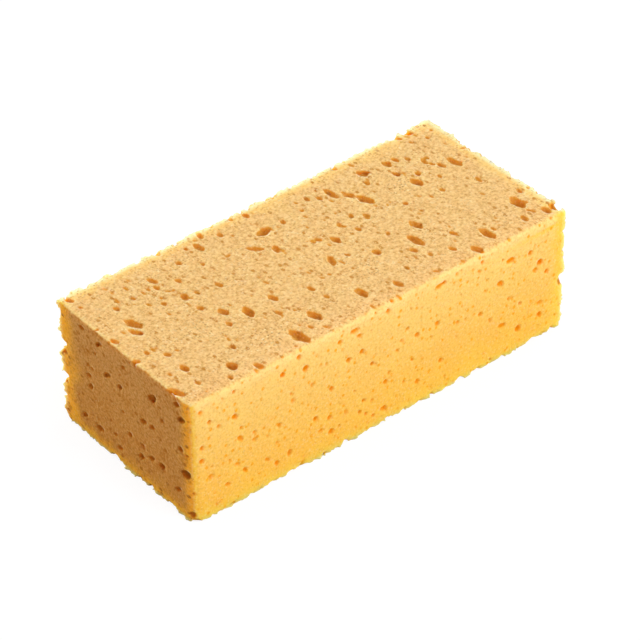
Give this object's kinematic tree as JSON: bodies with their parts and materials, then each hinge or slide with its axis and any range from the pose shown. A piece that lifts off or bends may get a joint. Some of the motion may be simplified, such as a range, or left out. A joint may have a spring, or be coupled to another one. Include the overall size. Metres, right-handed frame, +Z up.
{
  "type": "cleaning sponge",
  "caption": "Rectangular block of open-celled foam with pores on every face, for wiping and washing.",
  "frame": {"origin": "centre of the rectangle of the base, on the surface it rests on", "axes": "+X along the length, -Y out of the front long face, +Z up"},
  "size_m": [0.18, 0.08, 0.056],
  "materials": {
    "foam": "matte open-celled foam"
  },
  "bodies": {
    "root": {"foam_block": "foam"}
  },
  "joints": []
}
